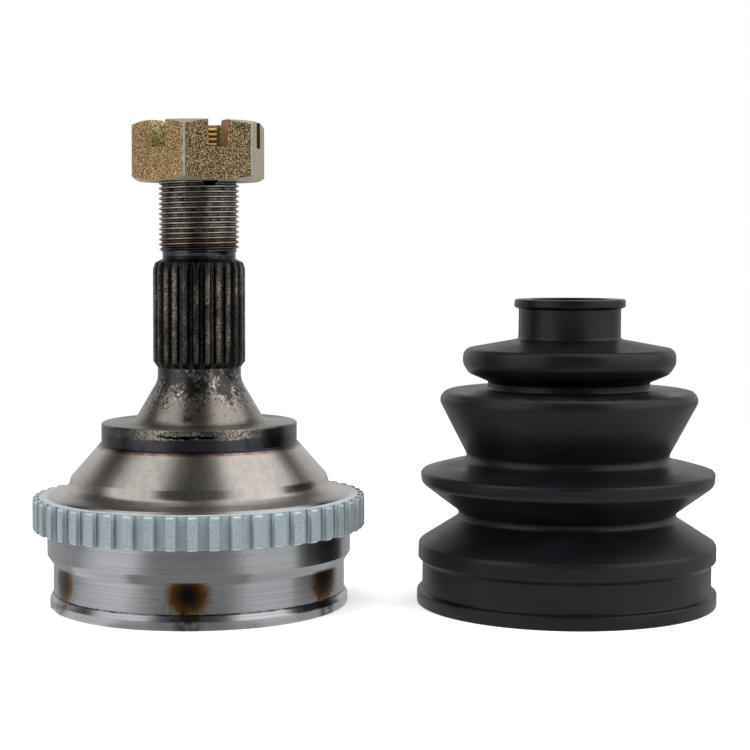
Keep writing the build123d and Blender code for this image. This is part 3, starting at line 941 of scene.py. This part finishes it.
def nut_edges(f, colour, flat, across):
    """Pale chamfers, and painted highlight lines along the corners and the rims of the chamfers."""
    half = nut_flats / 2
    corner_r = half * tan(pi / 6)
    on_side = f.between(flat, half - 0.5, half - 0.3)
    # Where the painted highlights run along the hexagon's corners.
    corner = f.times(f.between(across, corner_r - 0.5, corner_r - 0.25), on_side)
    upper = f.between(f.height, nut_top_h - 2.2, nut_top_h - 1.8)
    ends = f.larger(upper, f.between(f.height, nut_h + 2.2, nut_h + 1.8))
    sloped = f.between(flat, half - 0.1, half - 0.28)
    outer = f.between(f.radius, 15.0, 16.0)
    colour = f.mix(f.times(f.times(sloped, ends), outer), colour, tone(206, 190, 156))
    # Painted highlights: pale blue-grey lines along the hexagon's corners and the chamfers' rims.
    rim_highlight = f.times(f.band(flat, half - 0.26, half - 0.1, 0.06), ends)
    return f.mix(f.times(f.larger(corner, rim_highlight), 0.8), colour, tone(176, 188, 192))


def slot_tint(f, off):
    """Colour of the slots' walls: greenish streaks on the left, rainbow in front, olive on the right."""
    rainbow = f.ramp(
        f.noise(210, 2.0, 0.5),
        (0.35, tone(150, 92, 56)), (0.5, tone(162, 114, 58)), (0.62, tone(152, 136, 62)),
    )
    slant = f.vector(f.add(f.x, f.times(f.z, 0.7)), f.y, f.times(f.z, 0.25))
    streaks = f.between(f.noise(2600, 2.0, 0.5, slant), 0.42, 0.62)
    greenish = f.mix(streaks, tone(126, 106, 66), tone(250, 238, 176))
    tint = f.mix(f.between(off, -0.3, -0.5), rainbow, greenish)
    return f.mix(f.between(off, 0.6, 0.8), tint, tone(84, 84, 36))


def rubber_finish():
    """Moulded black rubber with a faint bloom and smears."""
    f = Finish("boot_rubber", boot_x)
    smear = f.noise(38, 4.0, 0.6, f.vector(f.x, f.y, f.times(f.z, 2.5)))
    grain = f.noise(1300, 2.0, 0.5)
    colour = f.mix(f.between(smear, 0.4, 0.7), tone(9, 10, 12), tone(17, 18, 22))
    shelf = f.times(f.band(f.height, *shelf_h, 0.4), f.between(f.radius, 24, 28))
    dust = f.times(f.between(f.noise(120, 4.0, 0.7), 0.4, 0.65), shelf)
    colour = f.mix(f.times(dust, 0.16), colour, tone(84, 70, 58))
    roughness = f.between(smear, 0.3, 0.7, 0.3, 0.4)
    return f.done(colour, roughness, 0.0, f.bump(grain, 0.015, 0.3), 0.36)


def ground_finish():
    """Ground and lightly oiled steel of the inner race."""
    f = Finish("ground_steel")
    lines = f.lines(0.12)
    cloud = f.noise(90, 3.0)
    colour = f.mix(cloud, tone(150, 150, 150), tone(188, 187, 184))
    normal = f.bump(lines, 0.008, 0.5, f.soft_edges(0.3))
    return f.done(colour, f.between(lines, 0.3, 0.7, 0.22, 0.34), 1.0, normal)


def cage_finish():
    """Hardened cage: dark phosphate, paler in patches."""
    f = Finish("cage_steel")
    lines = f.lines(0.15)
    patches = f.noise(110, 4.0)
    colour = f.mix(f.between(patches, 0.35, 0.65), tone(98, 96, 96), tone(150, 148, 146))
    normal = f.bump(lines, 0.008, 0.4, f.soft_edges(0.3))
    return f.done(colour, f.between(patches, 0.3, 0.7, 0.28, 0.42), 1.0, normal)


def ball_finish():
    """Polished ball with a thin film of grease."""
    f = Finish("ball_chrome")
    film = f.noise(140, 4.0, 0.6)
    colour = f.mix(film, tone(212, 212, 212), tone(232, 231, 228))
    return f.done(colour, f.between(film, 0.4, 0.65, 0.06, 0.2), 1.0)


def circlip_finish():
    """Oil-blackened spring steel."""
    f = Finish("spring_steel")
    cloud = f.noise(400, 3.0)
    colour = f.mix(cloud, tone(38, 36, 36), tone(72, 68, 64))
    return f.done(colour, f.between(cloud, 0.3, 0.7, 0.3, 0.45), 1.0, f.soft_edges(0.2))


def dress(piece, material):
    """Gives a piece or a CAD node its finish."""
    piece.data.materials.clear()
    piece.data.materials.append(material)


def stand_in(piece, body, node, material):
    """Dresses a piece, lets it ride on its body and stand for a CAD node."""
    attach(piece, body)
    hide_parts(node)
    dress(piece, material)


# Stage

def soft_boxes(f, x, y, z, left_level, right_level):
    """Radiance from a direction: a soft box on the left and on the right, with dark gaps between."""
    def beyond(plane):
        a, b, c = plane
        reach = f.add(f.add(f.times(x, a), f.times(y, b)), f.times(z, c))
        return f.between(reach, -box_blur, box_blur)

    left, right = (
        f.times(beyond(first), beyond(second)) for first, second in (left_box_planes, right_box_planes)
    )
    lit = f.larger(f.times(left, left_level), f.times(right, right_level))
    return f.larger(lit, studio_dark)


def floor():
    """Wide pale surface on which the joint and the boot stand."""
    level = floor_z * MM
    corners = [(-1, -1), (1, -1), (1, 1), (-1, 1)]
    mesh = bpy.data.meshes.new("floor")
    mesh.from_pydata([(x * floor_size, y * floor_size, level) for x, y in corners], [], [(0, 1, 2, 3)])
    mesh.materials.append(floor_finish())
    add_object("floor", mesh)


def floor_finish():
    """Paper that the camera sees turn white away from the shadow, and metal mirrors as it is lit."""
    material = bpy.data.materials.new("pale_floor")
    material.use_nodes = True
    material.node_tree.nodes.clear()
    f = Nodes(material.node_tree)
    paths = f.node("ShaderNodeLightPath")
    camera_ray = paths.outputs["Is Camera Ray"]
    paper = f.node("ShaderNodeBsdfDiffuse")
    paper.inputs["Color"].default_value = (0.8, 0.8, 0.8, 1)
    lit = f.node("ShaderNodeAddShader")
    f.feed(lit.inputs[0], paper.outputs[0])
    f.feed(lit.inputs[1], f.glow(f.times(camera_ray, floor_glow)))
    across = f.add(f.x, -stage_x * MM)
    away = f.math("SQRT", f.add(f.times(across, across), f.times(f.y, f.y)))
    far = f.times(f.between(away, white_from, white_at), camera_ray)
    seen = f.blend(far, lit.outputs[0], f.glow(1.0))
    surface = f.blend(paths.outputs["Is Glossy Ray"], seen, f.glow(mirrored_floor(f)))
    clear = f.node("ShaderNodeBsdfTransparent").outputs[0]
    below = f.node("ShaderNodeNewGeometry").outputs["Backfacing"]
    output = f.node("ShaderNodeOutputMaterial")
    f.feed(output.inputs["Surface"], f.blend(below, surface, clear))
    return material


def mirrored_floor(f):
    """How bright metal sees the floor: lit by the soft boxes to both sides of the joint, dark ahead."""
    distance = f.math("SQRT", f.add(f.times(f.x, f.x), f.times(f.y, f.y)))
    length = f.times(distance, floor_spread)
    along_x = f.math("DIVIDE", f.x, length)
    along_y = f.math("DIVIDE", f.y, length)
    lit = soft_boxes(f, along_x, along_y, -floor_dip, floor_left, floor_right)
    return f.larger(lit, f.between(along_y, -0.6, 0.1, floor_dark, floor_behind))


def room():
    """Two soft boxes, and a white backdrop that the camera sees and mirrors catch from behind."""
    world = bpy.data.worlds.new("room")
    bpy.context.scene.world = world
    world.use_nodes = True
    f = Nodes(world.node_tree, "Generated")
    boxes = soft_boxes(f, f.x, f.y, f.z, left_box, right_box)
    behind = f.times(f.between(f.y, 0.0, 0.77), f.between(f.z, 0.6, 0.35))
    paths = f.node("ShaderNodeLightPath")
    mirrored = f.larger(paths.outputs["Is Glossy Ray"], paths.outputs["Is Transmission Ray"])
    studio = f.larger(boxes, f.times(f.times(behind, mirrored), backdrop))
    camera_ray = paths.outputs["Is Camera Ray"]
    strength = f.add(camera_ray, f.times(f.math("SUBTRACT", 1.0, camera_ray), studio))
    back = f.tree.nodes["Background"]
    back.inputs["Color"].default_value = (1, 1, 1, 1)
    f.feed(back.inputs["Strength"], strength)


def area_light(name, place, target, size, power):
    """Soft lamp aimed at a point; places and sizes in mm."""
    data = bpy.data.lights.new(name, "AREA")
    data.shape = "RECTANGLE"
    data.size, data.size_y = (side * MM for side in size)
    data.energy = power
    lamp = add_object(name, data)
    lamp.visible_glossy = False
    lamp.location = Vector(place) * MM
    aim = Vector(target) - Vector(place)
    lamp.rotation_euler = aim.to_track_quat("-Z", "Y").to_euler()


def lamps():
    """Two soft lamps within the soft boxes and a weak one above."""
    aim = (50, 0, 40)
    area_light("left_lamp", (-620, -420, 560), aim, (420, 600), 6)
    area_light("right_lamp", (740, -420, 480), aim, (420, 600), 5)
    area_light("top_lamp", (60, 150, 900), aim, (600, 500), 6)


def camera():
    """Camera at the photo's angle, in front of both objects and looking slightly down."""
    data = bpy.data.cameras.new("camera")
    data.sensor_width = camera_sensor
    data.lens = camera_lens
    data.shift_y = camera_shift
    data.clip_start, data.clip_end = 0.01, 50
    made = add_object("camera", data)
    made.location = Vector(camera_place) * MM
    made.rotation_euler = (radians(90 - camera_tilt), 0, 0)
    bpy.context.scene.camera = made


def build():
    """Makes every piece and dresses it."""
    stand_in(bell(), "outer_race", "outer_race", bell_finish())
    stand_in(stub_spline(), "outer_race", "outer_race", spline_finish())
    stand_in(stub_thread(), "outer_race", "outer_race", thread_finish())
    stand_in(toothed_ring(), "outer_race", "abs_ring", ring_finish())
    stand_in(castle_nut(), "hub_nut", "hub_nut", nut_finish())
    stand_in(rubber_boot(), "boot", "boot", rubber_finish())
    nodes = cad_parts
    dress(nodes["inner_race"], ground_finish())
    dress(nodes["cage"], cage_finish())
    dress(nodes["shaft_circlip"], circlip_finish())
    polished = ball_finish()
    for number in range(track_count):
        dress(nodes[f"ball_{number + 1}"], polished)


build()
floor()
room()
lamps()
camera()
bpy.context.scene.view_settings.view_transform = "Standard"
